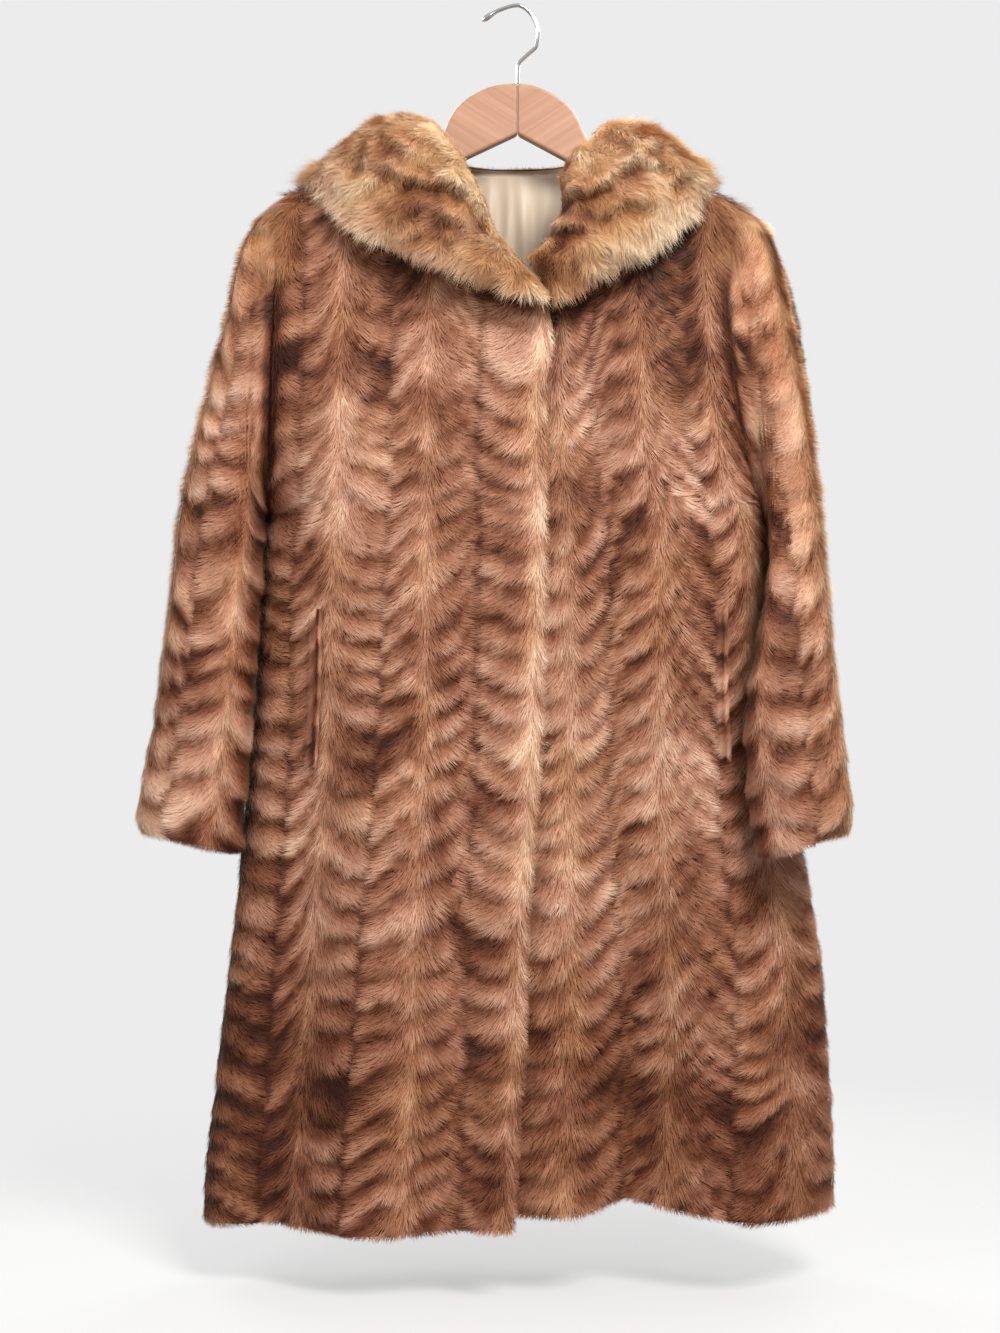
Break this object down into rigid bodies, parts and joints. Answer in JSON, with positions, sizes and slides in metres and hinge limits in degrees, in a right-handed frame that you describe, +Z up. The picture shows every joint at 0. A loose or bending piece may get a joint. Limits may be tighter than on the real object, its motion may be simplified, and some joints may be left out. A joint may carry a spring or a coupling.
{
  "type": "fur coat on a hanger",
  "caption": "Long fur coat with a wide shawl collar, set-in sleeves and fronts closed edge over edge, hung on a flat wooden hanger with a steel hook.",
  "frame": {"origin": "under the crown of the hanger's hook, on the rod that carries it", "axes": "+Z up, -Y towards the viewer of the coat's fronts, +X to that viewer's right"},
  "size_m": [0.6702, 0.2182, 1.1695],
  "materials": {
    "brown_fur": "long-haired brown fur with paler tips, in let-out strips",
    "collar_fur": "golden long-haired fur",
    "satin": "cream satin",
    "wire": "bent fastener wire",
    "hanger_wood": "pale laminated wood, satin varnish",
    "hook_steel": "polished steel wire"
  },
  "bodies": {
    "root": {"front_right": "brown_fur", "front_left": "brown_fur", "back": "brown_fur", "sleeve_right": "brown_fur", "sleeve_left": "brown_fur", "collar": "collar_fur", "pocket_lip_right": "brown_fur", "pocket_lip_left": "brown_fur", "lining_back": "satin", "closure_hook_neck": "wire", "closure_eye_neck": "wire", "closure_hook_waist": "wire", "closure_eye_waist": "wire", "hanger_arm_right": "hanger_wood", "hanger_arm_left": "hanger_wood", "hanger_hook": "hook_steel"}
  },
  "joints": []
}
